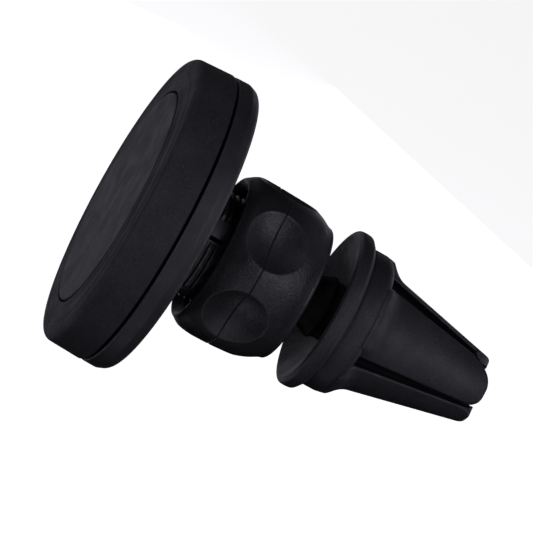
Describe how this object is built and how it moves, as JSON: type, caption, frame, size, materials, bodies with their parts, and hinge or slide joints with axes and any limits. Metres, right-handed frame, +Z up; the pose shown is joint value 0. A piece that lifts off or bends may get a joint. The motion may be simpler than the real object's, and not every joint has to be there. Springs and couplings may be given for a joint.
{
  "type": "car phone mount",
  "caption": "Magnetic phone holder for a car's air vent: a round magnet head on a ball joint with a scalloped locking nut and a slotted rubber clip that grips a vent blade.",
  "frame": {"origin": "on the main axis at the floor of the jaw slots, where the front edge of a vent blade seats", "axes": "+Y along the main axis from the phone face to the jaw tips, +Z up, so that the narrow slot takes a horizontal blade and the wide slot a vertical one"},
  "size_m": [0.0398, 0.0522, 0.0398],
  "materials": {
    "face_rubber": "matte",
    "cover_rubber": "matte",
    "housing_plastic": "fine grain",
    "nut_plastic": "fine grain",
    "collet_plastic": "satin",
    "stud_plastic": "satin",
    "inner_plastic": "natural",
    "pad_rubber": "matte",
    "clip_rubber": "matte",
    "jaw_plastic": "satin",
    "magnet_nickel": "nickel plated",
    "plate_steel": "zinc plated",
    "screw_steel": "zinc plated",
    "ring_steel": "turned"
  },
  "bodies": {
    "clip": {"ball_stud": "stud_plastic", "clip_boot": "clip_rubber"},
    "friction_pad": {"friction_pad": "pad_rubber"},
    "ball_seat": {"ball_seat": "inner_plastic"},
    "head": {"face_pad": "face_rubber", "front_cover": "cover_rubber", "magnet_1": "magnet_nickel", "magnet_2": "magnet_nickel", "magnet_3": "magnet_nickel", "magnet_4": "magnet_nickel", "magnet_5": "magnet_nickel", "magnet_6": "magnet_nickel", "magnet_holder": "inner_plastic", "yoke_plate": "plate_steel", "rear_housing": "housing_plastic", "collet": "collet_plastic", "collet_screws": "screw_steel"},
    "clamp_ring": {"clamp_ring": "ring_steel"},
    "locking_nut": {"locking_nut": "nut_plastic"},
    "jaw_1": {"jaw_core_1": "jaw_plastic", "jaw_sleeve_1": "clip_rubber"},
    "jaw_2": {"jaw_core_2": "jaw_plastic", "jaw_sleeve_2": "clip_rubber"},
    "jaw_3": {"jaw_core_3": "jaw_plastic", "jaw_sleeve_3": "clip_rubber"},
    "jaw_4": {"jaw_core_4": "jaw_plastic", "jaw_sleeve_4": "clip_rubber"}
  },
  "joints": [
    {"name": "head_tilt", "type": "hinge", "parent": "clip", "child": "friction_pad", "pos_m": [0, -0.0147, 0], "axis": [1, 0, 0], "range_deg": [-13, 13]},
    {"name": "head_swing", "type": "hinge", "parent": "friction_pad", "child": "ball_seat", "pos_m": [0, -0.0147, 0], "axis": [0, 0, 1], "range_deg": [-13, 13]},
    {"name": "head_spin", "type": "hinge", "parent": "ball_seat", "child": "head", "pos_m": [0, -0.0147, 0], "axis": [0, 1, 0], "continuous": true},
    {"name": "nut_travel", "type": "slide", "parent": "head", "child": "clamp_ring", "axis": [0, 1, 0], "range_m": [0, 0.0004]},
    {"name": "nut_turn", "type": "hinge", "parent": "clamp_ring", "child": "locking_nut", "pos_m": [0, -0.0162, 0], "axis": [0, 1, 0], "range_deg": [0, 181]},
    {"name": "jaw_1_flex", "type": "hinge", "parent": "clip", "child": "jaw_1", "pos_m": [0.00566, 0.00015, 0.00566], "axis": [0.7071, 0, -0.7071], "range_deg": [0, 4], "stiffness_Nm_per_rad": 0.5},
    {"name": "jaw_2_flex", "type": "hinge", "parent": "clip", "child": "jaw_2", "pos_m": [-0.00566, 0.00015, 0.00566], "axis": [0.7071, 0, 0.7071], "range_deg": [0, 4], "stiffness_Nm_per_rad": 0.5},
    {"name": "jaw_3_flex", "type": "hinge", "parent": "clip", "child": "jaw_3", "pos_m": [-0.00566, 0.00015, -0.00566], "axis": [-0.7071, 0, 0.7071], "range_deg": [0, 4], "stiffness_Nm_per_rad": 0.5},
    {"name": "jaw_4_flex", "type": "hinge", "parent": "clip", "child": "jaw_4", "pos_m": [0.00566, 0.00015, -0.00566], "axis": [-0.7071, 0, -0.7071], "range_deg": [0, 4], "stiffness_Nm_per_rad": 0.5}
  ],
  "couplings": [
    {"joint": "nut_turn", "follows": "nut_travel", "rad_per_m": 7854}
  ]
}
